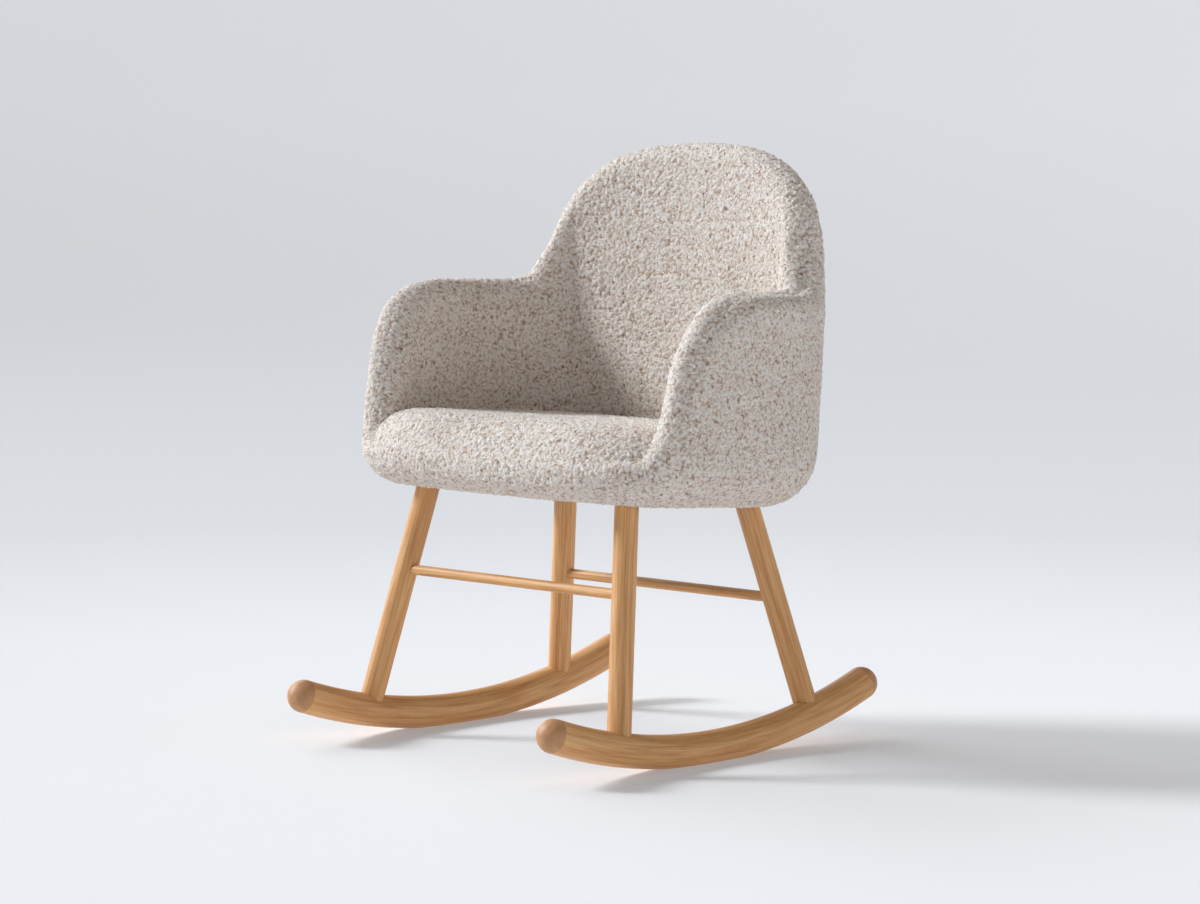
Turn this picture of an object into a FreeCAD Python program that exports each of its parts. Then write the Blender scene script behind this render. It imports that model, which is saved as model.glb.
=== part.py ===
import FreeCAD, Part
import Sketcher
import math
import os
from FreeCAD import Placement, Rotation, Vector

# Upholstered rocking chair: a fabric tub seat on four splayed legs and two curved runners.
# Millimetres and degrees, +Z up, the front faces -Y, the sitter's left is +X.
# The origin is on the floor, in the plane of symmetry, between the flats planed under the runners.

DIMENSIONS = {
    # Runners: round bars bent to an arc, measured on their centreline
    "runner_radius": 894,
    "runner_dia": 45,
    "runner_spacing": 481,
    "runner_front_sweep": 18.8,
    "runner_rear_sweep": 19.9,
    "runner_set_back": 10,
    "runner_flat": 4.5,
    # Legs: each axis runs from a point on the runner's arc to a point under the seat
    "leg_dia": 32,
    "tenon_dia": 22,
    "tenon_past_axis": 8,
    "front_foot_sweep": 11,
    "rear_foot_sweep": 12.7,
    "leg_top_height": 369.5,
    "front_top_x": 185.4,
    "front_top_y": 88,
    "rear_top_x": 162.8,
    "rear_top_y": 146.8,
    "stretcher_dia": 14,
    "front_stretcher_height": 228.5,
    "rear_stretcher_height": 198.5,
    "stretcher_socket": 13,
    "glue_gap": 0.15,
    "leg_hole_gap": 1,
    # Tub: its underside is a plane tilted back, seat_height above the origin
    "seat_height": 337.5,
    "seat_tilt": 4,
    "half_width": 306,
    "back_reach": 240,
    "front_reach": 186,
    "widest_at": 23,
    "back_squareness": 3.4,
    "front_squareness": 4,
    "back_height": 489,
    "arm_height": 280,
    "lip_height": 56,
    "wall_thickness": 52,
    "lip_thickness": 26,
    "edge_radius_back": 82,
    "edge_radius_front": 46,
    "arm_end": 120,
    # Layers of the tub's wall
    "cover_thickness": 3,
    "shell_thickness": 12,
    "layer_gap": 0.3,
    "hem_inset": 95,
    "lining_foot": 61,
    "roll_depth": 48,
    "roll_bevel": 16,
    # Boards, rails and seat, stacked up from the underside
    "board_clearance": 0.6,
    "base_board_thickness": 18,
    "base_board_inset": 76,
    "rail_height": 26,
    "rail_width": 44,
    "front_rail_length": 412,
    "rear_rail_length": 384,
    "seat_board_thickness": 12,
    "seat_board_inset": 50,
    "seat_foam_thickness": 45,
    "seat_side_gap": 1.5,
    "dust_cloth_thickness": 1,
    "dust_cloth_inset": 80,
    # Fasteners
    "bolt_dia": 8,
    "bolt_head_dia": 16,
    "bolt_head_height": 4.4,
    "bolt_socket_radius": 2.9,
    "bolt_socket_depth": 2.6,
    "bolt_inner_x": 45,
    "bolt_outer_x": 122,
    "tee_flange_dia": 19,
    "tee_flange_thickness": 1.5,
    "tee_barrel_dia": 10,
    "tee_barrel_length": 9,
    "bolt_hole_gap": 0.2,
    "screw_dia": 4.5,
    "screw_head_dia": 9,
    "screw_head_height": 2.6,
    "screw_length": 27,
    "screw_inset": 88,
    "staple_width": 10,
    "staple_leg": 8,
    "staple_wire": 0.8,
    "staple_inset": 87,
    "staple_step": 9,
}

# Rim line: angle round the tub from the middle of the back, and the share of a step in height left there
BACK_SHARE = [(0, 1), (20, .976), (35, .897), (47, .72), (53.5, .517),
              (59, .234), (65, .045), (75, .012), (92, 0)]
ARM_SHARE = [(92, 1), (102, .945), (108, .83), (113, .605), (117.5, .305),
             (120.5, .11), (123.5, .02), (127, 0)]
# Outward lean of the wall, in millimetres a millimetre of height, against the same angle
LEAN = [(0, .030), (45, 0), (66, .010), (88, .080), (112, .095), (145, .030), (180, .005)]
# Angles between which the wall thins to the front lip, and between which the seat comes out to it
LIP_BLEND = (118, 128)
SEAT_BLEND = (121.5, 128)
# Rounded edge of the seat: inset from its outline, and share of its thickness
SEAT_EDGE = [(0, 0), (0, .30), (0.5, .50), (4, .72), (12, .88), (26, .955), (48, .985), (76, 1)]
# Places of the screws in the shell's foot on each side, clear of the rails
SCREW_ANGLES = [68, 80, 92, 104]

ANGLE_STEP = 3
SIDE_POINTS = 18
RIM_POINTS = 8
OUTLINE_POINTS = 60
SHELL_RIM_TURN = 60
HALF_DEGREE = 0.5

SIDES = {"left": 1, "right": -1}
ENDS = {"front": -1, "rear": 1}
UP = Vector(0, 0, 1)

doc = FreeCAD.newDocument("rocking_chair")
sheet = doc.addObject("Spreadsheet::Sheet", "dimensions")
for row, (alias, value) in enumerate(DIMENSIONS.items(), start=1):
    sheet.set(f"A{row}", alias)
    sheet.set(f"B{row}", str(value))
    sheet.setAlias(f"B{row}", alias)
doc.recompute()

nodes = []


def size(alias):
    """The value of a driving dimension"""
    return float(sheet.get(alias))


def bind(item, **expressions):
    """Bind an object's properties to cells of the sheet"""
    for prop, expression in expressions.items():
        item.setExpression(prop, expression)
    return item


def node(item, label):
    """Name an object as a piece of the chair"""
    item.Label = label
    nodes.append(item)
    return item


def along(start, direction):
    """A placement at start whose Z axis points along direction"""
    return Placement(start, Rotation(UP, direction))


def radius(dia, room=None):
    """Expression for half of a diameter, with room round it if asked"""
    return f"dimensions.{dia} / 2" + (f" + dimensions.{room}" if room else "")


def cylinder(name, dia, height, placement, room=None):
    """A cylinder with a bound diameter, and a height that is a dimension's name or is worked out"""
    item = bind(doc.addObject("Part::Cylinder", name), Radius=radius(dia, room))
    if isinstance(height, str):
        bind(item, Height=f"dimensions.{height}")
    else:
        item.Height = height
    item.Placement = placement
    return item


def box(name, length, width, height, placement):
    """A box whose sides are the named dimensions"""
    item = doc.addObject("Part::Box", name)
    bind(item, Length=f"dimensions.{length}", Width=f"dimensions.{width}", Height=f"dimensions.{height}")
    item.Placement = placement
    return item


def group(name, items):
    """Several solids kept together as one object"""
    compound = doc.addObject("Part::Compound", name)
    compound.Links = items
    return compound


def cut(name, base, *tools):
    """Base with the tools taken away"""
    item = doc.addObject("Part::Cut", name)
    item.Base = base
    item.Tool = tools[0] if len(tools) == 1 else group(f"{name}_tools", list(tools))
    return item


def fuse(name, items):
    """Several touching solids made one"""
    item = doc.addObject("Part::MultiFuse", name)
    item.Shapes = items
    item.Refine = True
    return item


def copies(name, item, placements):
    """One solid repeated at several places"""
    doc.recompute()
    feature = doc.addObject("Part::Feature", name)
    feature.Shape = Part.makeCompound([item.Shape.transformed(place.Matrix) for place in placements])
    return feature


def attach(sketch, body):
    """Lay a sketch on its body's own XY plane"""
    plane = [item for item in body.Origin.OriginFeatures if item.Role == "XY_Plane"][0]
    sketch.AttachmentSupport = [(plane, "")]
    sketch.MapMode = "FlatFace"


# Seat frame and levels

seat_place = Placement(Vector(0, 0, size("seat_height")), Rotation(Vector(1, 0, 0), -size("seat_tilt")))


def in_seat(x, y, z):
    """A placement at a point of the seat frame, standing square to the tub's underside"""
    return seat_place * Placement(Vector(x, y, z), Rotation())


board_foot = size("cover_thickness") + size("board_clearance")
board_top = board_foot + size("base_board_thickness")
shell_foot = board_top + size("board_clearance")
rail_foot = board_top
rail_top = rail_foot + size("rail_height")
seat_board_foot = rail_top
seat_board_top = seat_board_foot + size("seat_board_thickness")
foam_foot = seat_board_top + size("layer_gap")
dust_cloth_foot = -size("layer_gap") - size("dust_cloth_thickness")


# Runners

def runner_point(side, sweep):
    """A point on a runner's centreline, sweep degrees behind its lowest point"""
    radius = size("runner_radius")
    turn = math.radians(sweep)
    across = side * size("runner_spacing") / 2
    height = size("runner_dia") / 2 - size("runner_flat") + radius * (1 - math.cos(turn))
    return Vector(across, size("runner_set_back") + radius * math.sin(turn), height)


def runner_tube(name, side, room=None):
    """The bent bar without its domed ends, with room round it if asked"""
    bar = doc.addObject("Part::Torus", name)
    bind(bar, Radius1="dimensions.runner_radius", Radius2=radius("runner_dia", room),
         Angle3="dimensions.runner_front_sweep + dimensions.runner_rear_sweep")
    upright = Rotation(Vector(1, 1, 1), 120)
    first = Rotation(UP, -90 - size("runner_front_sweep"))
    centre = runner_point(side, 0) + Vector(0, 0, size("runner_radius"))
    bar.Placement = Placement(centre, upright * first)
    return bar


def runner_dome(name, side, end, way):
    """The hemisphere that ends a runner"""
    sweep = way * size(f"runner_{end}_sweep")
    turn = math.radians(sweep)
    dome = bind(doc.addObject("Part::Sphere", name), Radius=radius("runner_dia"))
    dome.Angle1 = 0
    dome.Placement = along(runner_point(side, sweep), Vector(0, math.cos(turn), math.sin(turn)) * way)
    return dome


def runner_flat(word, side):
    """What is planed off under a runner, so that the empty chair stands without rolling back"""
    dia = size("runner_dia")
    lowest = runner_point(side, 0)
    corner = Vector(lowest.x - dia / 2, lowest.y - size("runner_radius") / 2, -dia)
    return box(f"runner_{word}_flat", "runner_dia", "runner_radius", "runner_dia", Placement(corner, Rotation()))


# Legs

class Leg:
    """The axis of one leg, from its runner to the blind end of its socket in a rail"""

    SOCKET_FLOOR = 3

    def __init__(self, end, side):
        self.foot = runner_point(side, ENDS[end] * size(f"{end}_foot_sweep"))
        top = Vector(side * size(f"{end}_top_x"), ENDS[end] * size(f"{end}_top_y"), size("leg_top_height"))
        self.axis = (top - self.foot).normalize()
        self.rise = seat_place.Rotation.inverted().multVec(self.axis).z
        slant = size("leg_dia") / 2 * math.sqrt(1 - self.rise ** 2)
        self.top = self.at_seat_height(rail_top - self.SOCKET_FLOOR - slant)

    def at_height(self, height):
        return self.foot + self.axis * ((height - self.foot.z) / self.axis.z)

    def at_seat_height(self, height):
        foot_height = seat_place.inverse().multVec(self.foot).z
        return self.foot + self.axis * ((height - foot_height) / self.rise)


legs = {(end, word): Leg(end, side) for end in ENDS for word, side in SIDES.items()}

for word, side in SIDES.items():
    pieces = [runner_tube(f"runner_{word}_tube", side)]
    pieces += [runner_dome(f"runner_{word}_{end}_dome", side, end, way) for end, way in ENDS.items()]
    sockets = []
    for end in ENDS:
        leg = legs[end, word]
        deep = leg.foot - leg.axis * (size("tenon_past_axis") + size("glue_gap"))
        sockets.append(cylinder(f"runner_{word}_{end}_socket", "tenon_dia", "runner_dia",
                                along(deep, leg.axis), "glue_gap"))
    node(cut(f"runner_{word}_bored", fuse(f"runner_{word}_bar", pieces), *sockets, runner_flat(word, side)),
         f"runner_{word}")


def stretcher(end):
    """A round bar let into two legs; gives the bar and its socket in each leg"""
    height = size(f"{end}_stretcher_height")
    short = size("leg_dia") / 2 - size("stretcher_socket")
    start = legs[end, "right"].at_height(height) + Vector(short, 0, 0)
    body = doc.addObject("PartDesign::Body", f"stretcher_{end}_body")
    sketch = body.newObject("Sketcher::SketchObject", f"stretcher_{end}_section")
    attach(sketch, body)
    sketch.addGeometry(Part.Circle(Vector(), UP, size("stretcher_dia") / 2), False)
    sketch.addConstraint(Sketcher.Constraint("Coincident", 0, 3, -1, 1))
    dia = sketch.addConstraint(Sketcher.Constraint("Diameter", 0, size("stretcher_dia")))
    sketch.setExpression(f"Constraints[{dia}]", "dimensions.stretcher_dia")
    pad = body.newObject("PartDesign::Pad", f"stretcher_{end}_bar")
    pad.Profile = sketch
    pad.Length = -2 * start.x
    body.Placement = along(start, Vector(1, 0, 0))
    sockets = {}
    for word, side in SIDES.items():
        inner = legs[end, word].at_height(height) - Vector(side * (short - size("glue_gap")), 0, 0)
        sockets[word] = cylinder(f"stretcher_{end}_{word}_socket", "stretcher_dia", "leg_dia",
                                 along(inner, Vector(-side, 0, 0)), "glue_gap")
    return body, sockets


for end in ENDS:
    bar, stretcher_sockets = stretcher(end)
    node(bar, f"stretcher_{end}")
    for word, side in SIDES.items():
        leg = legs[end, word]
        name = f"leg_{end}_{word}"
        rod = cylinder(f"{name}_rod", "leg_dia", (leg.top - leg.foot).Length, along(leg.foot, leg.axis))
        coped = cut(f"{name}_coped", rod, runner_tube(f"{name}_cope", side, "glue_gap"))
        tenon = cylinder(f"{name}_tenon", "tenon_dia", "runner_dia",
                         along(leg.foot - leg.axis * size("tenon_past_axis"), leg.axis))
        node(cut(f"{name}_bored", fuse(f"{name}_whole", [coped, tenon]), stretcher_sockets[word]), name)


# The tub's form

def smooth(keys, x):
    """A curve without overshoot through (x, value) keys, level at both ends"""
    if x <= keys[0][0]:
        return keys[0][1]
    if x >= keys[-1][0]:
        return keys[-1][1]
    last = len(keys) - 1
    secants = [(b[1] - a[1]) / (b[0] - a[0]) for a, b in zip(keys, keys[1:])]

    def slope(index):
        if index in (0, last):
            return 0
        before, after = secants[index - 1], secants[index]
        return 2 * before * after / (before + after) if before * after > 0 else 0

    left = max(index for index in range(last) if keys[index][0] <= x)
    width = keys[left + 1][0] - keys[left][0]
    t = (x - keys[left][0]) / width
    start, finish = keys[left][1], keys[left + 1][1]
    return (start * (1 + 2 * t) * (1 - t) ** 2 + finish * t * t * (3 - 2 * t)
            + width * (slope(left) * t * (1 - t) ** 2 - slope(left + 1) * t * t * (1 - t)))


def plan(angle):
    """The tub's outline seen from above, angle degrees from the middle of the back towards +X"""
    turn = math.radians(angle)
    across, forth = math.sin(turn), math.cos(turn)
    rear = forth >= 0
    reach = size("back_reach") - size("widest_at") if rear else size("front_reach") + size("widest_at")
    power = size("back_squareness") if rear else size("front_squareness")
    radius = (abs(forth / reach) ** power + abs(across / size("half_width")) ** power) ** (-1 / power)
    return Vector(radius * across, size("widest_at") + radius * forth, 0)


def plan_tangent(angle):
    """Change of the outline over a degree of angle"""
    return plan(angle + HALF_DEGREE) - plan(angle - HALF_DEGREE)


def plan_inset(angle, inset):
    """A point inset squarely from the outline"""
    tangent = plan_tangent(angle).normalize()
    return plan(angle) + Vector(tangent.y, -tangent.x, 0) * inset


def from_back(angle):
    """How far an angle lies from the middle of the back, whichever way round"""
    return abs((angle + 180) % 360 - 180)


def rim_height(angle):
    """Height of the rim's crest above the underside"""
    around = from_back(angle)
    lip, arm, back = size("lip_height"), size("arm_height"), size("back_height")
    return lip + (arm - lip) * smooth(ARM_SHARE, around) + (back - arm) * smooth(BACK_SHARE, around)


def walk(path, count):
    """Points evenly spaced along a path of (outward, height) points, both ends included"""
    lengths = [0]
    for a, b in zip(path, path[1:]):
        lengths.append(lengths[-1] + math.dist(a, b))
    points = []
    for step in range(count):
        goal = lengths[-1] * step / (count - 1)
        leg = max(index for index in range(len(path) - 1) if lengths[index] <= goal)
        share = (goal - lengths[leg]) / (lengths[leg + 1] - lengths[leg])
        points.append(tuple(p + (q - p) * share for p, q in zip(path[leg], path[leg + 1])))
    return points


class Wall:
    """A cross-section of the tub's wall at one angle"""

    ARC_STEPS = 12
    STEEPEST = 3.2
    RIM_SHARE = 0.45
    LINING_RISE = 8

    def __init__(self, angle):
        around = from_back(angle)
        self.angle = angle
        tangent = plan_tangent(angle)
        self.outward = Vector(-tangent.y, tangent.x, 0).normalize()
        self.lean = smooth(LEAN, around)
        thin = smooth([(LIP_BLEND[0], 0), (LIP_BLEND[1], 1)], around)
        self.thickness = size("wall_thickness") + thin * (size("lip_thickness") - size("wall_thickness"))
        middle = (size("edge_radius_back") + size("edge_radius_front")) / 2
        self.edge = middle + (size("edge_radius_back") - middle) * math.cos(math.radians(angle))
        crest = rim_height(angle)
        steepness = (rim_height(angle + HALF_DEGREE) - rim_height(angle - HALF_DEGREE)) / tangent.Length
        stretch = min(math.sqrt(1 + steepness ** 2), self.STEEPEST)
        rim = min(self.thickness / 2 * stretch, crest * self.RIM_SHARE)
        self.stretch = rim / (self.thickness / 2)
        self.rim_foot = crest - rim
        self.shell = (self.thickness - size("shell_thickness")) / 2
        self.lining_foot = min(size("lining_foot"), self.rim_foot - self.LINING_RISE)

    def point(self, out, height):
        """A point of the section in the seat frame"""
        return plan(self.angle) + self.outward * (out + self.lean * height) + UP * height

    def side(self, depth, foot, inset):
        """Path up a face at a depth below the outside, from an inset on the underside to the rim's foot"""
        bend = self.edge - depth
        path = [(-inset, foot)] if inset > self.edge else []
        first = 0 if inset >= self.edge else math.asin((self.edge - inset) / bend)
        for step in range(self.ARC_STEPS + 1):
            turn = first + (math.pi / 2 - first) * step / self.ARC_STEPS
            path.append((bend * math.sin(turn) - self.edge, foot + bend * (1 - math.cos(turn))))
        below = [p for p in path if p[1] < self.rim_foot]
        if len(below) == len(path):
            return path + [(-depth, self.rim_foot)]
        (out, height), (far, top) = below[-1], path[len(below)]
        share = (self.rim_foot - height) / (top - height)
        return below + [(out + (far - out) * share, self.rim_foot)]

    def upright(self, depth):
        """Path up the inner face from the foot of the lining to the foot of the rim"""
        return [(-depth, self.lining_foot), (-depth, self.rim_foot)]

    def shell_front(self, depth):
        """Path up the shell's inner face from the foot of the lining to the foot of the rim"""
        path = self.side(depth, shell_foot + depth - self.shell, size("hem_inset"))
        above = [p for p in path if p[1] > self.lining_foot]
        (out, height), (far, top) = path[-len(above) - 1], above[0]
        share = (self.lining_foot - height) / (top - height)
        return [(out + (far - out) * share, self.lining_foot)] + above

    def line(self, path, depth, rim_turn=90):
        """A path carried on over the rim towards its crest"""
        points = walk(path, SIDE_POINTS)
        half = self.thickness / 2 - depth
        out = points[-1][0]
        for step in range(1, RIM_POINTS + 1):
            turn = math.radians(rim_turn) * step / RIM_POINTS
            points.append((out - half * (1 - math.cos(turn)),
                           self.rim_foot + abs(half) * self.stretch * math.sin(turn)))
        return [self.point(*p) for p in points]


def spline(points, parameters, ring=False):
    """An interpolating curve, closed on itself for a ring"""
    curve = Part.BSplineCurve()
    curve.interpolate(Points=points, PeriodicFlag=ring, Parameters=parameters)
    return curve


class Skin:
    """A smooth surface through rows of points; a ring closes on itself"""

    def __init__(self, rows, ring, across):
        count = len(rows) + 1 if ring else len(rows)
        columns = [spline(list(column), [float(i) for i in range(count)], ring) for column in zip(*rows)]
        self.ring = ring
        self.knots = columns[0].getKnots()
        self.mults = columns[0].getMultiplicities()
        self.columns = columns
        ribs = [spline(list(rib), across) for rib in zip(*[column.getPoles() for column in columns])]
        self.across_knots = ribs[0].getKnots()
        self.across_mults = ribs[0].getMultiplicities()
        self.poles = [rib.getPoles() for rib in ribs]

    def face(self):
        surface = Part.BSplineSurface()
        surface.buildFromPolesMultsKnots(self.poles, self.mults, self.across_mults,
                                         self.knots, self.across_knots, self.ring, False, 3, 3)
        return surface.toShape()

    def edge_strip(self, other, index):
        """The narrow face between an edge of this skin and the same edge of another"""
        rows = [list(pair) for pair in zip(self.columns[index].getPoles(), other.columns[index].getPoles())]
        surface = Part.BSplineSurface()
        surface.buildFromPolesMultsKnots(rows, self.mults, [2, 2], self.knots, [0, 1], self.ring, False, 3, 1)
        return surface.toShape()

    def end_cap(self, other, index):
        """The face between the ends of two open skins"""
        rows = [list(pair) for pair in zip(self.poles[index], other.poles[index])]
        surface = Part.BSplineSurface()
        surface.buildFromPolesMultsKnots(rows, self.across_mults, [2, 2], self.across_knots, [0, 1],
                                         False, False, 3, 1)
        return surface.toShape()

    def lid(self, index):
        """The flat face inside a level edge of a ring"""
        return Part.Face(Part.Wire(self.columns[index].toShape()))


def solid_of(name, faces):
    """A solid in the seat frame, bounded by faces"""
    shape = Part.makeCompound(faces)
    shape.sewShape()
    solid = Part.makeSolid(Part.Shell(shape.Faces))
    if solid.Volume < 0:
        solid.reverse()
    feature = doc.addObject("Part::Feature", name)
    feature.Shape = solid
    feature.Placement = seat_place
    return feature


def layer(name, angles, ring, outer_line, inner_line):
    """A layer of the tub's wall between two skins, given by a line over the wall at each angle"""
    across = [3.0 * step for step in range(SIDE_POINTS)]
    across += [across[-1] + step for step in range(1, RIM_POINTS + 1)]
    walls = [Wall(angle) for angle in angles]
    outer = Skin([outer_line(wall) for wall in walls], ring, across)
    inner = Skin([inner_line(wall) for wall in walls], ring, across)
    faces = [outer.face(), inner.face(), outer.edge_strip(inner, 0), outer.edge_strip(inner, -1)]
    if not ring:
        faces += [outer.end_cap(inner, 0), outer.end_cap(inner, -1)]
    return solid_of(name, faces)


def span(start, finish):
    """Angles from start to finish, about ANGLE_STEP apart"""
    count = round((finish - start) / ANGLE_STEP)
    return [start + (finish - start) * step / count for step in range(count + 1)]


ring_angles = span(-180, 180)[:-1]
arm_angles = span(-size("arm_end"), size("arm_end"))
front_angles = span(size("arm_end") + HALF_DEGREE, 360 - size("arm_end") - HALF_DEGREE)
cover, gap, hem = size("cover_thickness"), size("layer_gap"), size("hem_inset")
shell_thickness = size("shell_thickness")
foam_inset = size("base_board_inset") - cover
under_cover = cover + gap
under_lip = cover + 3 * gap


def roll_back(wall):
    """The hidden back of the front roll: up from the base board's edge, then over to the crest"""
    back, bevel = -size("roll_depth"), size("roll_bevel")
    path = [(-foam_inset, board_top), (back, board_top + cover),
            (back, wall.rim_foot - bevel / 2), (back + bevel, wall.rim_foot)]
    return [wall.point(*p) for p in walk(path, SIDE_POINTS + RIM_POINTS)]


def face_line(depth, foot, inset):
    """Line up the outer side of a layer and over the rim"""
    return lambda wall: wall.line(wall.side(depth, foot, inset), depth)


def shell_line(depth):
    """Line up one side of the shell, which stops short of the rim's crest"""
    return lambda wall: wall.line(wall.side(wall.shell + depth, shell_foot + depth, hem),
                                  wall.shell + depth, SHELL_RIM_TURN)


def foam_back(wall):
    """Line up the inside of the outer foam, close against the shell"""
    depth = wall.shell - gap
    return wall.line(wall.side(depth, shell_foot - gap, foam_inset), depth)


def foam_front(wall):
    """Line up the outside of the inner foam, close against the shell"""
    depth = wall.shell + shell_thickness + gap
    return wall.line(wall.shell_front(depth), depth)


def lining_line(depth):
    """Line up the inner side of the wall and over the rim, a depth below the fabric's surface"""
    return lambda wall: wall.line(wall.upright(wall.thickness - depth), wall.thickness - depth)


outer_cover = layer("outer_cover_skin", ring_angles, True, face_line(0, 0, hem), face_line(cover, cover, hem))
outer_foam = layer("outer_foam_pad", arm_angles, False,
                   face_line(under_cover, under_cover, foam_inset), foam_back)
tub_shell = layer("tub_shell_moulding", arm_angles, False, shell_line(0), shell_line(shell_thickness))
inner_foam = layer("inner_foam_pad", arm_angles, False, foam_front, lining_line(under_cover))
inner_cover = layer("inner_cover_skin", arm_angles, False, lining_line(cover), lining_line(0))
front_roll = layer("front_roll_pad", front_angles, False,
                   face_line(under_lip, under_lip, foam_inset), roll_back)


# Seat

def seat_outline(angle):
    """Edge of the seat's foam: against the lining at the back and arms, out to the lip at the front"""
    wall = Wall(angle)
    out = smooth([(SEAT_BLEND[0], 0), (SEAT_BLEND[1], 1)], from_back(angle))
    inset = size("wall_thickness") * (1 - out) + cover + size("seat_side_gap")
    return wall.point(-inset, foam_foot) - UP * foam_foot


def seat_skin(grow):
    """The rounded skin of the seat, grown outwards"""
    centre = Vector(0, size("widest_at"), 0)
    thickness = size("seat_foam_thickness")
    rows = []
    for angle in ring_angles:
        edge = seat_outline(angle)
        inward = (centre - edge).normalize()
        rows.append([edge + inward * (inset - grow) + UP * (foam_foot + share * (thickness + grow))
                     for inset, share in SEAT_EDGE])
    across = [0.0]
    for a, b in zip(SEAT_EDGE, SEAT_EDGE[1:]):
        across.append(across[-1] + math.hypot(b[0] - a[0], (b[1] - a[1]) * thickness))
    return Skin(rows, True, across)


pad = seat_skin(0)
node(solid_of("seat_foam_pad", [pad.face(), pad.lid(0), pad.lid(-1)]), "seat_foam")
lining, outside = seat_skin(gap), seat_skin(gap + cover)
node(solid_of("seat_cover_skin", [outside.face(), outside.lid(-1), lining.face(), lining.lid(-1),
                                  outside.edge_strip(lining, 0)]), "seat_cover")


# Boards and rails

def board(name, inset, thickness, foot):
    """A flat board whose outline is inset from the tub's, standing at foot in the seat frame"""
    body = doc.addObject("PartDesign::Body", f"{name}_body")
    sketch = body.newObject("Sketcher::SketchObject", f"{name}_outline")
    attach(sketch, body)
    points = [plan_inset(360 * step / OUTLINE_POINTS, size(inset)) for step in range(OUTLINE_POINTS)]
    sketch.addGeometry(spline(points, [float(step) for step in range(OUTLINE_POINTS + 1)], True), False)
    slab = body.newObject("PartDesign::Pad", f"{name}_slab")
    slab.Profile = sketch
    slab.setExpression("Length", f"dimensions.{thickness}")
    body.Placement = in_seat(0, 0, foot)
    return body


base_board = board("base_board", "base_board_inset", "base_board_thickness", board_foot)
seat_board = board("seat_board", "seat_board_inset", "seat_board_thickness", seat_board_foot)
dust_cloth = board("dust_cloth", "dust_cloth_inset", "dust_cloth_thickness", dust_cloth_foot)

passages = group("leg_passages", [
    cylinder(f"leg_{end}_{word}_passage", "leg_dia", 3 * size("leg_dia"),
             along(leg.at_seat_height(-size("leg_dia")), leg.axis), "leg_hole_gap")
    for (end, word), leg in legs.items()])

rails, bolt_spots = {}, []
for end in ENDS:
    middle = seat_place.inverse().multVec(legs[end, "left"].at_seat_height((rail_foot + rail_top) / 2)).y
    corner = in_seat(-size(f"{end}_rail_length") / 2, middle - size("rail_width") / 2, rail_foot)
    rail = box(f"{end}_rail_block", f"{end}_rail_length", "rail_width", "rail_height", corner)
    sockets = []
    for word in SIDES:
        leg = legs[end, word]
        mouth = leg.at_seat_height(rail_foot - size("leg_dia"))
        depth = (leg.top - mouth).Length + size("glue_gap")
        sockets.append(cylinder(f"{end}_rail_{word}_socket", "leg_dia", depth, along(mouth, leg.axis), "glue_gap"))
    rails[end] = (rail, sockets)
    for x in (size("bolt_inner_x"), size("bolt_outer_x")):
        bolt_spots += [Vector(side * x, middle, 0) for side in SIDES.values()]

# The shell's foot stops behind the rear rail
rail_room = doc.addObject("Part::Box", "rail_room")
bind(rail_room, Length="dimensions.rear_rail_length + 4 * dimensions.layer_gap",
     Width="2 * dimensions.rail_width", Height="2 * dimensions.rail_height")
rail_room.Placement = in_seat(-size("rear_rail_length") / 2 - 2 * gap,
                              middle - 1.5 * size("rail_width") + gap, board_foot)


# Fasteners: each is drawn once, standing in the seat frame over the origin, and repeated

def raised(height):
    """A placement straight up the Z axis"""
    return Placement(Vector(0, 0, height), Rotation())


def headed(name, kind, foot, top, room=None):
    """A countersunk bolt or screw from foot up to top, with room round it if asked"""
    shank = cylinder(f"{name}_shank", f"{kind}_dia", top - foot, raised(foot), room)
    head = doc.addObject("Part::Cone", f"{name}_head")
    bind(head, Radius1=radius(f"{kind}_dia", room), Radius2=radius(f"{kind}_head_dia", room),
         Height=f"dimensions.{kind}_head_height")
    head.Placement = raised(top - size(f"{kind}_head_height"))
    return fuse(f"{name}_blank", [shank, head])


def tee(name, room=None):
    """The outside of a tee nut, its flange let into the underside of the base board"""
    return [cylinder(f"{name}_flange", "tee_flange_dia", "tee_flange_thickness", raised(board_foot), room),
            cylinder(f"{name}_barrel", "tee_barrel_dia", "tee_barrel_length", raised(board_foot), room)]


bolt_places = [in_seat(*spot) for spot in bolt_spots]
key = doc.addObject("Part::Prism", "bolt_key")
key.Polygon = 6
bind(key, Circumradius="dimensions.bolt_socket_radius", Height="dimensions.bolt_head_height")
key.Placement = raised(seat_board_top - size("bolt_socket_depth"))
bolt = cut("bolt", headed("bolt", "bolt", board_foot, seat_board_top), key)
node(copies("rail_bolt_set", bolt, bolt_places), "rail_bolts")

thread = cylinder("tee_thread", "bolt_dia", "rail_height", raised(board_foot), "glue_gap")
node(copies("tee_nut_set", cut("tee_nut", fuse("tee_nut_blank", tee("tee")), thread), bolt_places), "tee_nuts")

bolt_hole = headed("bolt_hole", "bolt", board_foot, seat_board_top, "bolt_hole_gap")
bolt_holes = copies("bolt_holes", fuse("bolt_room", [bolt_hole] + tee("tee_room", "glue_gap")), bolt_places)

screw_top = shell_foot + shell_thickness
screw = headed("screw", "screw", screw_top - size("screw_length"), screw_top)
screw_spots = [plan_inset(side * angle, size("screw_inset"))
               for angle in SCREW_ANGLES for side in SIDES.values()]
screws = node(copies("shell_screw_set", screw, [in_seat(*spot) for spot in screw_spots]), "shell_screws")


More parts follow.
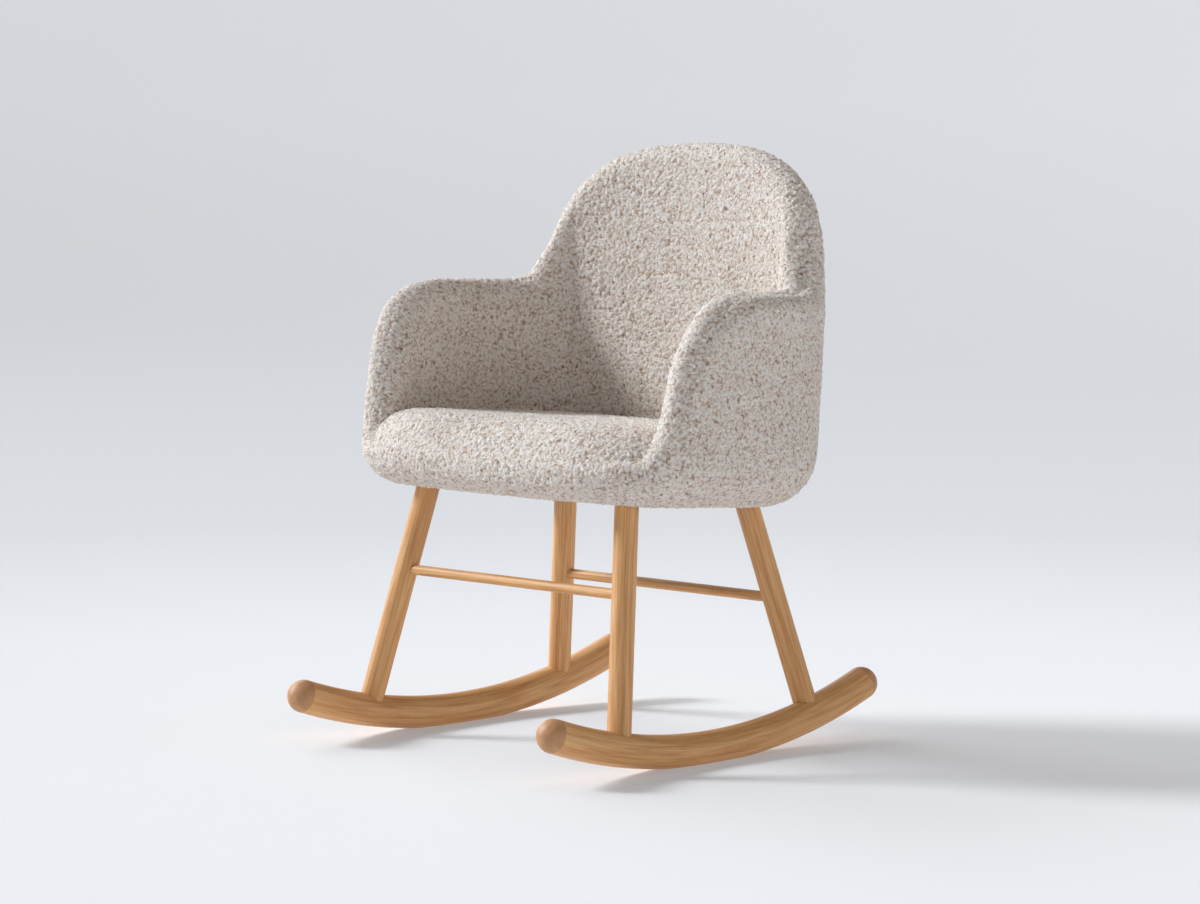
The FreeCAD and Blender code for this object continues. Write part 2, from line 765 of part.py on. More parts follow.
def staple():
    """A wire staple lying under the dust cloth along X, its legs pointing up"""
    wire, half = size("staple_wire"), size("staple_width") / 2
    parts = [box("staple_crown", "staple_width", "staple_wire", "staple_wire",
                 Placement(Vector(-half, -wire / 2, dust_cloth_foot - wire), Rotation()))]
    for word, x in (("first", -half), ("second", half - wire)):
        parts.append(box(f"staple_{word}_leg", "staple_wire", "staple_wire", "staple_leg",
                         Placement(Vector(x, -wire / 2, dust_cloth_foot), Rotation())))
    return fuse("staple", parts)


leg_spots = [seat_place.inverse().multVec(leg.at_seat_height(0)) for leg in legs.values()]
staple_places = []
for step in range(round(360 / size("staple_step"))):
    angle = (step + 0.5) * size("staple_step")
    spot = plan_inset(angle, size("staple_inset"))
    leg_room = min((spot - leg).Length for leg in leg_spots) - size("leg_dia")
    bolt_room = min((spot - bolt).Length for bolt in bolt_spots) - size("tee_flange_dia")
    if min(leg_room, bolt_room) > 0:
        staple_places.append(seat_place * Placement(spot, Rotation(Vector(1, 0, 0), plan_tangent(angle))))
staples = node(copies("staple_set", staple(), staple_places), "cloth_staples")


# Holes where pieces pass through one another

node(cut("outer_cover_cut", outer_cover, passages, staples), "outer_cover")
node(cut("outer_foam_cut", outer_foam, passages, rails["rear"][0]), "outer_foam")
node(cut("tub_shell_cut", tub_shell, passages, screws, rail_room), "tub_shell")
node(inner_foam, "inner_foam")
node(inner_cover, "inner_cover")
node(cut("front_roll_cut", front_roll, passages, rails["front"][0]), "front_roll")
node(cut("base_board_cut", base_board, passages, bolt_holes, screws, staples), "base_board")
node(cut("seat_board_cut", seat_board, bolt_holes), "seat_board")
node(cut("dust_cloth_cut", dust_cloth, passages, staples), "dust_cloth")
for end, (rail, sockets) in rails.items():
    node(cut(f"{end}_rail_bored", rail, *sockets, bolt_holes), f"{end}_rail")

doc.recompute()
faults = [item.Name for item in doc.Objects if {"Invalid", "Error"} & set(item.State)]
faults += [item.Label for item in nodes if item.Shape.isNull() or not item.Shape.isValid()]
if faults:
    raise RuntimeError("failed: " + ", ".join(faults))

os.makedirs("parts", exist_ok=True)
for item in nodes:
    item.Shape.exportStep(f"parts/{item.Label}.step")
    print(f"{item.Label:20s} solids {len(item.Shape.Solids):3d}  volume {item.Shape.Volume / 1000:9.1f} cm3")
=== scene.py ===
import itertools
import math

import bmesh
import bpy
import numpy as np
from mathutils import Matrix, Vector


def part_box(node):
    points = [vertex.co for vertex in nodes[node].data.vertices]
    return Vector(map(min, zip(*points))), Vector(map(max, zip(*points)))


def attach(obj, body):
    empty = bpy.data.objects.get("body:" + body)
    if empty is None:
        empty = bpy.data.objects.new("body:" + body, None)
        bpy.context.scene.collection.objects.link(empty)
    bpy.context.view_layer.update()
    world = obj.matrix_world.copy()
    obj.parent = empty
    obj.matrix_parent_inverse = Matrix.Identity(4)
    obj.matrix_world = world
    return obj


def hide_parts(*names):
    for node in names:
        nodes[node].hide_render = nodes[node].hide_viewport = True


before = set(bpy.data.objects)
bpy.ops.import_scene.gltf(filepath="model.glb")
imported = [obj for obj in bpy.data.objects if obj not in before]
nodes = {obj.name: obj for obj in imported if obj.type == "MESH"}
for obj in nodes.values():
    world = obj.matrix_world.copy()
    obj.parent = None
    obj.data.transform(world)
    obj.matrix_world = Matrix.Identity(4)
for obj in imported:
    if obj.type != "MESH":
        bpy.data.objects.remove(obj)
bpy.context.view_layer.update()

# Upholstered rocking chair: looped-pile tub and seat on a light hardwood base.
# Metres, in the frame of the solids: +Z up, the front faces -Y, the origin is on the floor.

scene = bpy.context.scene

# Values shared with the solids
SEAT_HEIGHT = 0.3375
SEAT_TILT = math.radians(4)
HALF_WIDTH, BACK_REACH, FRONT_REACH, WIDEST_AT = 0.306, 0.240, 0.186, 0.023
BACK_SQUARENESS, FRONT_SQUARENESS = 3.4, 4.0
WALL_THICKNESS = 0.052
RUNNER_RADIUS, RUNNER_DIA, RUNNER_SPACING = 0.894, 0.045, 0.481
RUNNER_SET_BACK, RUNNER_FLAT = 0.010, 0.0045
RUNNER_SWEEP = {"front": math.radians(-18.8), "rear": math.radians(19.9)}
RUNNER_CENTRE = RUNNER_RADIUS + RUNNER_DIA / 2 - RUNNER_FLAT
LEG_FOOT_SWEEP = {"front": math.radians(-11.0), "rear": math.radians(12.7)}
LEG_TOP = {"front": (0.1854, -0.088, 0.3695), "rear": (0.1628, 0.1468, 0.3695)}
LEG_HOLE_RADIUS = 0.0175
DUST_CLOTH_INSET, DUST_CLOTH_TOP, DUST_CLOTH_THICKNESS = 0.080, -0.0003, 0.001
STAPLES_AROUND = 40
SIDES = {"left": 1, "right": -1}

# Soft forms
PILE_VOXEL = 0.0020
LOOP_SIZE = 0.0066
LOOP_HEIGHT = 0.0038
PILE_RISE = 0.0006
PILE_DRIFT, PILE_DRIFT_SPACING = 0.0008, 0.07
BARE_SINK, BARE_BELOW, BARE_INSIDE = 0.003, 0.004, 0.076
LOOP_SALT, FINE_SALT, SWIRL_SALT, DRIFT_SALT = 1, 21, 60, 80
SEAT_CROWN = 0.097
SEAT_FOOT_LEVEL = 0.030
SEAT_FRONT_INSET, SEAT_WALL_OVERLAP = 0.007, 0.010
SEAT_FRONT_LEVEL = 0.045
SEAT_FRONT_ROUND = 0.085
SEAT_FRONT_POWER = 2.3
SEAT_EDGE_DROP, SEAT_EDGE_ROUND = 0.016, 0.060
SEAT_SWELL, SWELL_VOXEL = 0.006, 0.005
OPEN_FRONT = math.radians(107), math.radians(121)
FILL_INSET, FILL_LOW, FILL_HIGH = 0.060, 0.001, 0.060
DUST_CLOTH_SAG, DUST_CLOTH_PUCKER = 0.004, 0.0007
DUST_CLOTH_LOOSE, PUCKER_REACH = 0.93, 0.12
LEG_PUNCH_LENGTH = 0.06

# Crease and arm padding: ranges over which each comes in or fades, as levels, angles or shares
CREASE_ANGLE, CREASE_DEPTH, CREASE_WIDTH = math.radians(53), 0.005, 0.012
CREASE_FACING = 0.25, 0.70
CREASE_RISE, CREASE_FADE = (0.105, 0.135), (0.225, 0.275)
ARM_PAD = 0.013
ARM_WAY = 0.8, 0.6
ARM_FACING = 0.0, 0.70
ARM_BLEND, ARM_END = 0.16, (2.20, 2.36)
ARM_RISE = 0.095, 0.200

# Smoothing of the upholstery: how often, and where
NET_SMOOTH, FRONT_SMOOTH, UPPER_SMOOTH, LAST_SMOOTH = 12, 120, 45, 3
FRONT_TURN = math.radians(124), math.radians(138)
FRONT_BAND_RISE, FRONT_BAND_FADE = (0.026, 0.040), (0.072, 0.088)
UPPER_RISE = 0.115, 0.150


# Camera, floor and lights

CAMERA_AT = Vector((3.740, -3.7245, 0.8605))
CAMERA_TARGET = Vector((0.0269, 0.0210, 0.3950))
CAMERA_LENS = 117.6
CAMERA_SENSOR = 36
CAMERA_REACH = 60

camera = bpy.data.objects.new("camera", bpy.data.cameras.new("camera"))
camera.data.lens = CAMERA_LENS
camera.data.sensor_width = CAMERA_SENSOR
camera.data.clip_end = CAMERA_REACH
camera.location = CAMERA_AT
camera.rotation_euler = (CAMERA_TARGET - CAMERA_AT).to_track_quat("-Z", "Y").to_euler()
scene.collection.objects.link(camera)
scene.camera = camera
scene.view_settings.view_transform = "Standard"


def mesh_object(name, verts, faces):
    """A new smooth-shaded mesh object in the scene"""
    mesh = bpy.data.meshes.new(name)
    mesh.from_pydata([tuple(v) for v in verts], [], faces)
    mesh.update()
    mesh.polygons.foreach_set("use_smooth", [True] * len(mesh.polygons))
    obj = bpy.data.objects.new(name, mesh)
    scene.collection.objects.link(obj)
    return obj


def studio_bowl():
    """A round pale floor that turns up into a wall far from the chair"""
    flat, bend, wall, around, steps = 8.0, 3.0, 0.5, 96, 12
    profile = [(0.0, 0.0), (flat / 2, 0.0), (flat, 0.0)]
    profile += [(flat + bend * math.sin(t), bend * (1 - math.cos(t)))
                for t in (math.pi / 2 * i / steps for i in range(1, steps + 1))]
    profile.append((flat + bend, bend + wall))
    verts, faces = [], []
    for radius, height in profile:
        for i in range(around):
            turn = 2 * math.pi * i / around
            verts.append((radius * math.cos(turn), radius * math.sin(turn), height))
    for ring in range(len(profile) - 1):
        for i in range(around):
            a, b = ring * around + i, ring * around + (i + 1) % around
            faces.append((a, b, b + around, a + around))
    return mesh_object("studio_floor", verts, faces)


floor = studio_bowl()
floor.visible_shadow = False


def area_light(name, at, target, size, power, colour):
    """A rectangular soft light aimed at a point"""
    lamp = bpy.data.lights.new(name, "AREA")
    lamp.shape = "RECTANGLE"
    lamp.size, lamp.size_y = size
    lamp.energy = power
    lamp.color = colour
    obj = bpy.data.objects.new(name, lamp)
    obj.location = at
    obj.rotation_euler = (target - at).to_track_quat("-Z", "Y").to_euler()
    scene.collection.objects.link(obj)


def far_light(name, turn, rise, spread, power, colour):
    """Even light from far off, in degrees: its turn from -X towards -Y, its rise and its spread"""
    lamp = bpy.data.lights.new(name, "SUN")
    lamp.energy = power
    lamp.angle = math.radians(spread)
    lamp.color = colour
    obj = bpy.data.objects.new(name, lamp)
    turn, rise = math.radians(turn), math.radians(rise)
    way = Vector((math.cos(turn), math.sin(turn), -math.tan(rise)))
    obj.rotation_euler = way.to_track_quat("-Z", "Y").to_euler()
    scene.collection.objects.link(obj)


SUBJECT = Vector((0, 0, 0.42))
COOL, NEUTRAL, WARM = (0.90, 0.95, 1.0), (1.0, 0.98, 0.96), (1.0, 0.95, 0.89)
WORLD_COLOUR, WORLD_STRENGTH = (1.0, 0.98, 0.95, 1), 0.06

far_light("key", turn=32, rise=33, spread=15, power=3.1, colour=COOL)
far_light("left", turn=-8, rise=30, spread=50, power=1.8, colour=COOL)
area_light("top", Vector((0.3, 0.2, 4.6)), SUBJECT, size=(3.0, 3.0), power=26, colour=NEUTRAL)
area_light("right_fill", Vector((3.40, 1.50, 1.30)), SUBJECT, size=(2.0, 2.0), power=14, colour=WARM)

world = bpy.data.worlds.new("studio")
world.use_nodes = True
background = world.node_tree.nodes["Background"]
background.inputs["Color"].default_value = WORLD_COLOUR
background.inputs["Strength"].default_value = WORLD_STRENGTH
scene.world = world


# Materials

class Tree:
    """A material's nodes, added and joined by short calls"""

    def __init__(self, name):
        self.material = bpy.data.materials.new(name)
        self.material.use_nodes = True
        self.tree = self.material.node_tree
        self.shader = self.tree.nodes["Principled BSDF"]

    def add(self, kind, inputs=(), **settings):
        node = self.tree.nodes.new(kind)
        for key, value in settings.items():
            setattr(node, key, value)
        for key, value in dict(inputs).items():
            self.put(node.inputs[key], value)
        return node

    def put(self, socket, value):
        if isinstance(value, bpy.types.NodeSocket):
            self.tree.links.new(value, socket)
        else:
            socket.default_value = value

    def set(self, **inputs):
        for key, value in inputs.items():
            self.put(self.shader.inputs[key.replace("_", " ")], value)

    def position(self):
        return self.add("ShaderNodeTexCoord").outputs["Object"]

    def math(self, operation, a, b=0.0):
        return self.add("ShaderNodeMath", {0: a, 1: b}, operation=operation).outputs[0]

    def vector(self, operation, a, b=(0, 0, 0)):
        return self.add("ShaderNodeVectorMath", {0: a, 1: b}, operation=operation).outputs[0]

    def noise(self, at, scale, detail=3.0, rough=0.55):
        return self.add("ShaderNodeTexNoise", {"Vector": at, "Scale": scale, "Detail": detail,
                                               "Roughness": rough}).outputs["Fac"]

    def cells(self, at, scale, randomness=1.0):
        return self.add("ShaderNodeTexVoronoi", {"Vector": at, "Scale": scale, "Randomness": randomness})

    def ramp(self, value, stops):
        ramp = self.add("ShaderNodeValToRGB", {0: value})
        elements = ramp.color_ramp.elements
        while len(elements) < len(stops):
            elements.new(0.5)
        for element, (place, colour) in zip(elements, stops):
            element.position = place
            element.color = (*colour, 1)
        return ramp.outputs["Color"]

    def mix(self, share, a, b, blend="MIX"):
        node = self.add("ShaderNodeMix", data_type="RGBA", blend_type=blend)
        self.put(node.inputs[0], share)
        self.put(node.inputs[6], a)
        self.put(node.inputs[7], b)
        return node.outputs[2]

    def bump(self, height, strength, distance):
        inputs = {"Height": height, "Strength": strength, "Distance": distance}
        return self.add("ShaderNodeBump", inputs).outputs["Normal"]


def srgb(red, green, blue):
    """Linear values of a colour given from 0 to 255"""
    return tuple((c / 255 / 12.92) if c / 255 <= 0.04045 else ((c / 255 + 0.055) / 1.055) ** 2.4
                 for c in (red, green, blue))


def boucle():
    """Looped wool: small cream curls over beige pits, with a few brown flecks; the pits are painted darker
    and browner as painted shade, low in the pile and between the curls; the larger nubs are in the mesh
    """
    t = Tree("boucle")
    at = t.position()
    loft = t.add("ShaderNodeAttribute", attribute_name="loft").outputs["Fac"]
    stray = t.add("ShaderNodeTexNoise", {"Vector": at, "Scale": 300.0, "Detail": 2.0}).outputs["Color"]
    stray = t.vector("MULTIPLY", t.vector("SUBTRACT", stray, (0.5, 0.5, 0.5)), (0.005, 0.005, 0.005))
    curled = t.vector("ADD", at, stray)
    nub = t.cells(curled, 262.0)
    yarn = t.cells(curled, 640.0).outputs["Distance"]
    fibre = t.noise(at, 1900.0, 3.0, 0.7)
    # Painted shade: the wool is darker between the small curls, where the bump height sinks, and lighter on
    # their tops
    rise = t.math("SUBTRACT", 1.0, t.math("MULTIPLY", nub.outputs["Distance"], 0.85))
    rise = t.math("ADD", rise, t.math("MULTIPLY", t.math("SUBTRACT", 0.5, yarn), 0.35))
    tone = t.math("ADD", rise, t.math("MULTIPLY", t.math("SUBTRACT", fibre, 0.5), 0.4))
    # Painted shade: darker where the mesh's pile is low, between its loops, from the loft noted by pile()
    tone = t.math("ADD", tone, t.math("MULTIPLY", t.math("SUBTRACT", loft, 0.35), 0.55))
    wool = t.ramp(tone, [(0.06, srgb(140, 110, 87)), (0.32, srgb(205, 181, 161)), (0.56, srgb(243, 229, 216)),
                         (0.88, srgb(255, 251, 245))])
    brown = t.ramp(tone, [(0.10, srgb(138, 106, 82)), (0.6, srgb(202, 175, 151)),
                          (0.95, srgb(238, 222, 206))])
    lot = t.add("ShaderNodeSeparateColor", {0: nub.outputs["Color"]}).outputs[0]
    share = t.ramp(lot, [(0.86, (0, 0, 0)), (0.94, (0.6, 0.6, 0.6))])
    colour = t.mix(share, wool, brown)
    patch = t.noise(at, 9.0, 3.0)
    shade = t.ramp(patch, [(0.3, (0.94, 0.935, 0.93)), (0.7, (1, 1, 1))])
    colour = t.mix(1.0, colour, shade, "MULTIPLY")
    height = t.math("ADD", rise, t.math("MULTIPLY", fibre, 0.2))
    t.set(Base_Color=colour, Roughness=0.95, Specular_IOR_Level=0.12, Sheen_Weight=0.2, Sheen_Roughness=0.5,
          Normal=t.bump(height, 1.0, 0.0026))
    return t.material


LEG_GRAIN_SHIFT, RUNNER_GRAIN_SHIFT = 7.0, 0.37
STUDIO_REACH = 12.0


def grain(t, at, end_share=None):
    """Light oak in coordinates whose Z runs along the grain; end_share marks where end grain shows"""
    slow = t.vector("MULTIPLY", at, (1, 1, 0.12))
    wander = t.noise(slow, 9.0, 2.0)
    across = t.vector("MULTIPLY", at, (1, 0.35, 0.02))
    rings = t.math("ADD", t.math("MULTIPLY", t.noise(across, 95.0, 2.0, 0.5), 1.6), wander)
    band = t.math("FRACT", t.math("MULTIPLY", rings, 4.0))
    band = t.math("ABSOLUTE", t.math("SUBTRACT", t.math("MULTIPLY", band, 2.0), 1.0))
    streak = t.noise(t.vector("MULTIPLY", at, (1, 1, 0.03)), 620.0, 3.0, 0.6)
    pores = t.noise(t.vector("MULTIPLY", at, (1, 1, 0.022)), 1500.0, 2.0, 0.5)
    tone = t.math("ADD", t.math("MULTIPLY", band, 0.26), t.math("MULTIPLY", streak, 0.8))
    colour = t.ramp(tone, [(0.20, srgb(185, 127, 73)), (0.50, srgb(214, 158, 101)),
                           (0.80, srgb(233, 187, 132))])
    dark = t.ramp(pores, [(0.60, (1, 1, 1)), (0.72, (0.72, 0.62, 0.52))])
    colour = t.mix(0.6, colour, dark, "MULTIPLY")
    height = t.math("SUBTRACT", t.math("MULTIPLY", streak, 0.5), t.math("MULTIPLY", pores, 0.7))
    if end_share is not None:
        rings_end = t.noise(t.vector("MULTIPLY", at, (1, 0.3, 0.3)), 160.0, 3.0, 0.6)
        speck = t.noise(at, 1800.0, 2.0)
        end_tone = t.math("ADD", t.math("MULTIPLY", rings_end, 0.6), t.math("MULTIPLY", speck, 0.4))
        end = t.ramp(end_tone, [(0.3, srgb(172, 122, 82)), (0.7, srgb(208, 158, 114))])
        colour = t.mix(end_share, colour, end)
    rough = t.add("ShaderNodeMapRange", {"Value": streak, "From Min": 0.3, "From Max": 0.7,
                                         "To Min": 0.42, "To Max": 0.56}).outputs["Result"]
    t.set(Base_Color=colour, Roughness=rough, Specular_IOR_Level=0.4, Normal=t.bump(height, 0.25, 0.0004))


def straight_wood(name, start, direction):
    """Oak whose grain runs along a straight member"""
    t = Tree(name)
    turn = direction.to_track_quat("Z", "Y").inverted().to_euler()
    moved = t.vector("SUBTRACT", t.position(), tuple(start))
    at = t.add("ShaderNodeVectorRotate", {"Vector": moved, "Rotation": turn},
               rotation_type="EULER_XYZ").outputs[0]
    grain(t, t.vector("ADD", at, tuple(start * LEG_GRAIN_SHIFT)))
    return t.material


def runner_wood(name, side):
    """Oak whose grain follows the bent runner, with end grain on its domed ends"""
    t = Tree(name)
    split = t.add("ShaderNodeSeparateXYZ", {0: t.position()})
    x, y, z = split.outputs
    drop = t.math("SUBTRACT", RUNNER_CENTRE, z)
    back = t.math("SUBTRACT", y, RUNNER_SET_BACK)
    sweep = t.math("ARCTAN2", back, drop)
    reach = t.math("SQRT", t.math("ADD", t.math("MULTIPLY", back, back), t.math("MULTIPLY", drop, drop)))
    out = t.math("SUBTRACT", reach, RUNNER_RADIUS)
    along = t.math("MULTIPLY", sweep, RUNNER_RADIUS)
    across = t.math("ADD", x, RUNNER_GRAIN_SHIFT * side)
    at = t.add("ShaderNodeCombineXYZ", {0: across, 1: out, 2: along}).outputs[0]
    past_front = t.math("LESS_THAN", sweep, RUNNER_SWEEP["front"])
    past_rear = t.math("GREATER_THAN", sweep, RUNNER_SWEEP["rear"])
    grain(t, at, t.math("ADD", past_front, past_rear))
    return t.material


def plywood():
    """Birch plywood faces with fine straight figure"""
    t = Tree("plywood")
    at = t.position()
    figure = t.noise(t.vector("MULTIPLY", at, (0.06, 1, 1)), 140.0, 3.0)
    colour = t.ramp(figure, [(0.3, srgb(196, 164, 120)), (0.7, srgb(222, 194, 152))])
    t.set(Base_Color=colour, Roughness=0.6, Normal=t.bump(figure, 0.2, 0.0003))
    return t.material


def plated_steel():
    """Zinc-plated steel with a faint mottle"""
    t = Tree("zinc_steel")
    mottle = t.noise(t.position(), 700.0, 3.0)
    colour = t.ramp(mottle, [(0.3, (0.50, 0.51, 0.52)), (0.7, (0.66, 0.67, 0.68))])
    t.set(Base_Color=colour, Metallic=1.0, Roughness=0.38)
    return t.material


def non_woven():
    """Black spun-bonded cloth with an embossed dot pattern"""
    t = Tree("dust_cloth")
    at = t.position()
    fibre = t.noise(at, 1400.0, 4.0, 0.7)
    dots = t.cells(at, 420.0, 0.12).outputs["Distance"]
    pressed = t.ramp(dots, [(0.25, (0, 0, 0)), (0.4, (1, 1, 1))])
    tone = t.math("MULTIPLY", fibre, t.math("ADD", t.math("MULTIPLY", pressed, 0.4), 0.6))
    colour = t.ramp(tone, [(0.2, (0.010, 0.010, 0.011)), (0.7, (0.045, 0.045, 0.048))])
    t.set(Base_Color=colour, Roughness=0.85, Normal=t.bump(pressed, 0.4, 0.0003))
    return t.material


def studio_paint():
    """Matt pale paint, painted lightest round the chair as a painted pool of light, with a painted glow:
    faint over the whole floor, where it lifts the chair's shadow, and stronger far out so that floor and wall
    run on
    """
    t = Tree("studio_paint")
    at = t.position()
    haze = t.math("MULTIPLY", t.noise(at, 1.2, 2.0), 0.01)
    away = t.add("ShaderNodeVectorMath", {0: at}, operation="LENGTH").outputs["Value"]
    reach = t.math("ADD", t.math("DIVIDE", away, STUDIO_REACH), haze)
    # Painted pool of light: the paint is lightest within about 1.3 m of the chair and darker by 3 m
    colour = t.ramp(reach, [(0.11, (0.63, 0.625, 0.625)), (0.24, (0.53, 0.525, 0.525)),
                            (0.667, (0.50, 0.495, 0.495)), (0.885, (0.18, 0.18, 0.18))])
    # Painted light: a faint glow over the whole floor lightens the chair's cast shadow; far out it rises so
    # that the floor and wall run on
    glow = t.ramp(reach, [(0.667, (0.22, 0.22, 0.22)), (0.85, (0.60, 0.60, 0.60)),
                          (0.885, (0.65, 0.65, 0.65))])
    t.set(Base_Color=colour, Roughness=0.9, Specular_IOR_Level=0.1, Emission_Color=(0.94, 0.955, 1.0, 1),
          Emission_Strength=glow)
    return t.material


def wear(obj, material):
    """Give an object one material"""
    obj.data.materials.clear()
    obj.data.materials.append(material)


wear(floor, studio_paint())


# The tub's form, as numbers over arrays of points

def to_seat(points):
    """Points in the seat frame, whose Z is square to the tub's underside"""
    c, s = math.cos(SEAT_TILT), math.sin(SEAT_TILT)
    y, z = points[:, 1], points[:, 2] - SEAT_HEIGHT
    return np.stack([points[:, 0], y * c - z * s, y * s + z * c], 1)


def from_seat(points):
    """Points of the seat frame in the chair's frame"""
    c, s = math.cos(SEAT_TILT), math.sin(SEAT_TILT)
    y, z = points[:, 1], points[:, 2]
    return np.stack([points[:, 0], y * c + z * s, SEAT_HEIGHT - y * s + z * c], 1)


def plan(angle):
    """The tub's outline seen from above, angle in radians from the middle of the back"""
    across, forth = np.sin(angle), np.cos(angle)
    rear = forth >= 0
    reach = np.where(rear, BACK_REACH - WIDEST_AT, FRONT_REACH + WIDEST_AT)
    power = np.where(rear, BACK_SQUARENESS, FRONT_SQUARENESS)
    radius = (np.abs(forth / reach) ** power + np.abs(across / HALF_WIDTH) ** power) ** (-1 / power)
    return np.stack([radius * across, WIDEST_AT + radius * forth], 1)


def inset_plan(angle, inset):
    """The tub's outline moved inwards, square to itself, for angles that run all the way round"""
    outline = plan(angle)
    along = np.roll(outline, -1, 0) - np.roll(outline, 1, 0)
    along /= np.linalg.norm(along, axis=1, keepdims=True)
    return outline + inset * np.stack([along[:, 1], -along[:, 0]], 1)


# Soft pieces

def points_of(mesh):
    """A mesh's points as an array"""
    co = np.empty(len(mesh.vertices) * 3, np.float32)
    mesh.vertices.foreach_get("co", co)
    return co.reshape(-1, 3).astype(float)


def normals_of(mesh):
    """The normals at a mesh's points as an array"""
    normals = np.empty(len(mesh.vertices) * 3, np.float32)
    mesh.vertex_normals.foreach_get("vector", normals)
    return normals.reshape(-1, 3).astype(float)


def set_points(mesh, points):
    """Move a mesh's points"""
    mesh.vertices.foreach_set("co", points.astype(np.float32).ravel())
    mesh.update()


def closed_mesh(name, points, faces):
    """A closed mesh from points in the seat frame, with shared points joined and normals facing out"""
    mesh = bpy.data.meshes.new(name)
    mesh.from_pydata([tuple(p) for p in from_seat(points)], [], faces)
    net = bmesh.new()
    net.from_mesh(mesh)
    bmesh.ops.remove_doubles(net, verts=net.verts, dist=1e-5)
    bmesh.ops.recalc_face_normals(net, faces=net.faces)
    net.to_mesh(mesh)
    net.free()
    return mesh


def applied(obj):
    """Replace an object's mesh by what its modifiers make of it"""
    depsgraph = bpy.context.evaluated_depsgraph_get()
    mesh = bpy.data.meshes.new_from_object(obj.evaluated_get(depsgraph))
    obj.modifiers.clear()
    obj.data = mesh


def united(name, meshes, voxel):
    """The outer surface of several closed meshes taken together, as an even net of quads"""
    joined = bmesh.new()
    for part in meshes:
        joined.from_mesh(part)
    mesh = bpy.data.meshes.new(name)
    joined.to_mesh(mesh)
    joined.free()
    obj = bpy.data.objects.new(name, mesh)
    scene.collection.objects.link(obj)
    remesh = obj.modifiers.new("net", "REMESH")
    remesh.mode = "VOXEL"
    remesh.voxel_size = voxel
    applied(obj)
    keep_outer(obj.data)
    return obj


def keep_outer(mesh):
    """Delete every connected part of a mesh but the largest"""
    net = bmesh.new()
    net.from_mesh(mesh)
    left = set(net.verts)
    parts = []
    while left:
        start = left.pop()
        part, frontier = {start}, [start]
        while frontier:
            vert = frontier.pop()
            for link in vert.link_edges:
                other = link.other_vert(vert)
                if other in left:
                    left.discard(other)
                    part.add(other)
                    frontier.append(other)
        parts.append(part)
    parts.sort(key=len, reverse=True)
    for part in parts[1:]:
        bmesh.ops.delete(net, geom=list(part), context="VERTS")
    net.to_mesh(mesh)
    net.free()


def smoothed(obj, times):
    """Even out a net's steps"""
    smooth = obj.modifiers.new("even", "SMOOTH")
    smooth.factor = 0.5
    smooth.iterations = times
    applied(obj)


def scatter(cells, salt):
    """A fixed pseudo-random number from 0 to 1 for each whole-numbered cell"""
    mixed = (cells[:, 0] * 73856093) ^ (cells[:, 1] * 19349663) ^ (cells[:, 2] * 83492791)
    mixed = mixed ^ (salt * 2654435761)
    mixed = (mixed ^ (mixed >> 13)) * 1274126177 & 0x7FFFFFFF
    mixed = (mixed ^ (mixed >> 11)) * 1103515245 & 0x7FFFFFFF
    return ((mixed >> 7) & 0xFFFF) / 65535.0


def loops(points, spacing, salt):
    """Nearest and second nearest distance to scattered loop centres, in spacings, and each loop's number"""
    grid = points / spacing
    base = np.floor(grid).astype(np.int64)
    first = np.full(len(points), 9.0)
    second = np.full(len(points), 9.0)
    number = np.zeros(len(points))
    for offset in itertools.product((-1, 0, 1), repeat=3):
        cell = base + offset
        centre = cell + np.stack([scatter(cell, salt + i) for i in range(3)], 1)
        distance = np.sqrt(((grid - centre) ** 2).sum(1))
        nearer = distance < first
        second = np.where(nearer, first, np.minimum(second, distance))
        number = np.where(nearer, scatter(cell, salt + 9), number)
        first = np.where(nearer, distance, first)
    return first, second, number


def drift(points, spacing, salt):
    """Smooth noise from -1 to 1 that changes over the given spacing"""
    grid = points / spacing
    base = np.floor(grid).astype(np.int64)
    share = grid - base
    share = share * share * (3 - 2 * share)
    total = np.zeros(len(points))
    for corner in itertools.product((0, 1), repeat=3):
        weight = np.prod(np.where(corner, share, 1 - share), axis=1)
        total += weight * scatter(base + corner, salt)
    return total * 2 - 1


def step(low, high, value):
    """A smooth rise from 0 at low to 1 at high"""
    share = np.clip((value - low) / (high - low), 0, 1)
    return share * share * (3 - 2 * share)


def pile(obj, bare):
    """Raise the looped pile on a soft piece, sink its bare points, and note the height for the material,
    which paints shade low in the pile
    """
    mesh = obj.data
    points, normals = points_of(mesh), normals_of(mesh)
    swirl = np.stack([drift(points, LOOP_SIZE * 1.7, SWIRL_SALT + i) for i in range(3)], 1)
    swirl = swirl * LOOP_SIZE * 0.45
    first, second, number = loops(points + swirl, LOOP_SIZE, LOOP_SALT)
    fine, _, _ = loops(points + swirl, LOOP_SIZE * 0.55, FINE_SALT)
    crown = np.clip(1.15 - first * 1.25, 0, 1)
    valley = np.clip((second - first) * 2.2, 0, 1)
    loft = 0.66 * crown * (0.45 + 0.55 * valley) + 0.34 * np.clip(1 - fine, 0, 1)
    height = PILE_RISE + LOOP_HEIGHT * (loft - loft.mean()) * (0.75 + 0.5 * number)
    height += PILE_DRIFT * drift(points, PILE_DRIFT_SPACING, DRIFT_SALT)
    height = np.where(bare, -BARE_SINK, height)
    set_points(mesh, points + normals * height[:, None])
    spread = np.clip((loft - loft.min()) / (np.percentile(loft, 99) - loft.min()), 0, 1)
    layer = mesh.attributes.new("loft", "FLOAT", "POINT")
    layer.data.foreach_set("value", spread.astype(np.float32))
    mesh.polygons.foreach_set("use_smooth", [True] * len(mesh.polygons))


def seat_edge(angle, front_inset, wall_inset):
    """Radius of the seat's edge about the middle of the plan, and how far it belongs to the open front"""
    open_front = step(*OPEN_FRONT, np.abs(angle))
    inset = wall_inset + (front_inset - wall_inset) * open_front
    outline = plan(angle) - (0, WIDEST_AT)
    return np.hypot(outline[:, 0], outline[:, 1]) - inset, open_front


